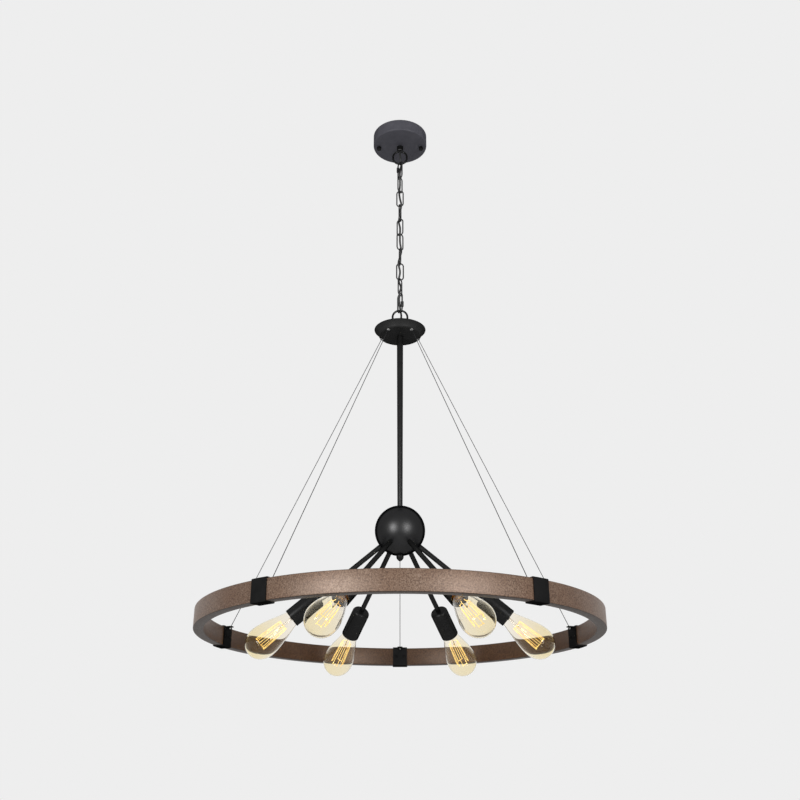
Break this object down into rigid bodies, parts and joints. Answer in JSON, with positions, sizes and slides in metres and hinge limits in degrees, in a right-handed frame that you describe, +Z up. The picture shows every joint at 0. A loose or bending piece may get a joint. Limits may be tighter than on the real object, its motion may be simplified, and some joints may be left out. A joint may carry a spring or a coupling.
{
  "type": "chandelier",
  "caption": "Chain-hung chandelier with a wood-look ring on steel wires round a stem and ball whose radiating arms carry filament bulbs.",
  "frame": {"origin": "centre of the canopy's top plane, where the crossbar's upper face meets the ceiling", "axes": "+Z up into the ceiling, +X along the mounting crossbar, -Y towards the front"},
  "size_m": [0.8, 0.8021, 1.2634],
  "materials": {
    "zinc": "zinc plated",
    "canopy_black": "satin black powder coat",
    "black_metal": "satin powder coat",
    "chain_black": "satin black lacquer",
    "cord_black": "black cord jacket",
    "steel_wire": "bright steel wire",
    "nickel": "nickel plated",
    "phenolic": "moulded lampholder body",
    "brass": "brass",
    "clear_glass": "clear glass with a faint amber tint",
    "ring_wood_print": "speckled brown wood-look finish"
  },
  "bodies": {
    "canopy": {"mounting_crossbar": "zinc", "canopy_studs": "zinc", "canopy_cap_nuts": "canopy_black", "canopy_shell": "canopy_black", "canopy_nipple": "zinc", "canopy_loop": "chain_black", "supply_cord": "cord_black"},
    "upper_link": {"upper_quick_link": "chain_black"},
    "upper_sleeve": {"upper_link_sleeve": "chain_black"},
    "link_1": {"chain_link_1": "chain_black"},
    "link_2": {"chain_link_2": "chain_black"},
    "link_3": {"chain_link_3": "chain_black"},
    "link_4": {"chain_link_4": "chain_black"},
    "link_5": {"chain_link_5": "chain_black"},
    "link_6": {"chain_link_6": "chain_black"},
    "link_7": {"chain_link_7": "chain_black"},
    "link_8": {"chain_link_8": "chain_black"},
    "lower_link": {"lower_quick_link": "chain_black"},
    "lower_sleeve": {"lower_link_sleeve": "chain_black"},
    "lamp": {"hub_loop": "chain_black", "hub_lid": "black_metal", "hub_bowl": "black_metal", "hub_nipple": "zinc", "rod_lock_nuts": "zinc", "stem": "black_metal", "ball_upper_half": "black_metal", "ball_lower_half": "black_metal", "ball_rod": "zinc", "finial": "black_metal", "arm_tubes": "black_metal", "arm_nuts": "zinc", "socket_cup_1": "black_metal", "socket_cup_2": "black_metal", "socket_cup_3": "black_metal", "socket_cup_4": "black_metal", "socket_cup_5": "black_metal", "socket_cup_6": "black_metal", "lampholders": "phenolic", "lampholder_contacts": "brass", "ring_segment_1": "ring_wood_print", "ring_segment_2": "ring_wood_print", "ring_segment_3": "ring_wood_print", "ring_segment_4": "ring_wood_print", "ring_segment_5": "ring_wood_print", "ring_clamps": "black_metal", "clamp_screws": "black_metal", "suspension_wires": "steel_wire", "wire_stops": "nickel"},
    "bulb_1": {"bulb_glass_1": "clear_glass", "bulb_cap_1": "brass"},
    "bulb_2": {"bulb_glass_2": "clear_glass", "bulb_cap_2": "brass"},
    "bulb_3": {"bulb_glass_3": "clear_glass", "bulb_cap_3": "brass"},
    "bulb_4": {"bulb_glass_4": "clear_glass", "bulb_cap_4": "brass"},
    "bulb_5": {"bulb_glass_5": "clear_glass", "bulb_cap_5": "brass"},
    "bulb_6": {"bulb_glass_6": "clear_glass", "bulb_cap_6": "brass"}
  },
  "joints": [
    {"name": "upper_link_swing", "type": "hinge", "parent": "canopy", "child": "upper_link", "pos_m": [0, 0, -0.08125], "axis": [1, 0, 0], "range_deg": [-12, 12], "deforming": ["supply_cord"]},
    {"name": "link_1_swing", "type": "hinge", "parent": "upper_link", "child": "link_1", "pos_m": [0, 0, -0.12445], "axis": [0.5736, -0.8192, 0], "range_deg": [-12, 12], "deforming": ["supply_cord"]},
    {"name": "link_2_swing", "type": "hinge", "parent": "link_1", "child": "link_2", "pos_m": [0, 0, -0.1649], "axis": [0.6428, 0.766, 0], "range_deg": [-12, 12], "deforming": ["supply_cord"]},
    {"name": "link_3_swing", "type": "hinge", "parent": "link_2", "child": "link_3", "pos_m": [0, 0, -0.2056], "axis": [0.9781, -0.2079, 0], "range_deg": [-12, 12], "deforming": ["supply_cord"]},
    {"name": "link_4_swing", "type": "hinge", "parent": "link_3", "child": "link_4", "pos_m": [0, 0, -0.2463], "axis": [0.2756, 0.9613, 0], "range_deg": [-12, 12], "deforming": ["supply_cord"]},
    {"name": "link_5_swing", "type": "hinge", "parent": "link_4", "child": "link_5", "pos_m": [0, 0, -0.287], "axis": [-0.866, 0.5, 0], "range_deg": [-12, 12], "deforming": ["supply_cord"]},
    {"name": "link_6_swing", "type": "hinge", "parent": "link_5", "child": "link_6", "pos_m": [0, 0, -0.3277], "axis": [0.8829, 0.4695, 0], "range_deg": [-12, 12], "deforming": ["supply_cord"]},
    {"name": "link_7_swing", "type": "hinge", "parent": "link_6", "child": "link_7", "pos_m": [0, 0, -0.3684], "axis": [-0.2079, 0.9781, 0], "range_deg": [-12, 12], "deforming": ["supply_cord"]},
    {"name": "link_8_swing", "type": "hinge", "parent": "link_7", "child": "link_8", "pos_m": [0, 0, -0.4091], "axis": [0.9962, 0.0872, 0], "range_deg": [-12, 12], "deforming": ["supply_cord"]},
    {"name": "lower_link_swing", "type": "hinge", "parent": "link_8", "child": "lower_link", "pos_m": [0, 0, -0.4498], "axis": [0.5299, 0.848, 0], "range_deg": [-12, 12], "deforming": ["supply_cord"]},
    {"name": "lamp_swing", "type": "hinge", "parent": "lower_link", "child": "lamp", "pos_m": [0, 0, -0.49375], "axis": [-0.5878, 0.809, 0], "range_deg": [-12, 12], "deforming": ["supply_cord"]},
    {"name": "upper_sleeve_travel", "type": "slide", "parent": "upper_link", "child": "upper_sleeve", "axis": [0, 0, -1], "range_m": [0, 0.012]},
    {"name": "lower_sleeve_travel", "type": "slide", "parent": "lower_link", "child": "lower_sleeve", "axis": [0, 0, 1], "range_m": [0, 0.012]},
    {"name": "bulb_1_unscrew", "type": "slide", "parent": "lamp", "child": "bulb_1", "axis": [0.7683, 0, -0.6401], "range_m": [0, 0.022]},
    {"name": "bulb_2_unscrew", "type": "slide", "parent": "lamp", "child": "bulb_2", "axis": [0.3841, 0.6654, -0.6401], "range_m": [0, 0.022]},
    {"name": "bulb_3_unscrew", "type": "slide", "parent": "lamp", "child": "bulb_3", "axis": [-0.3841, 0.6654, -0.6401], "range_m": [0, 0.022]},
    {"name": "bulb_4_unscrew", "type": "slide", "parent": "lamp", "child": "bulb_4", "axis": [-0.7683, 0, -0.6401], "range_m": [0, 0.022]},
    {"name": "bulb_5_unscrew", "type": "slide", "parent": "lamp", "child": "bulb_5", "axis": [-0.3841, -0.6654, -0.6401], "range_m": [0, 0.022]},
    {"name": "bulb_6_unscrew", "type": "slide", "parent": "lamp", "child": "bulb_6", "axis": [0.3841, -0.6654, -0.6401], "range_m": [0, 0.022]}
  ]
}
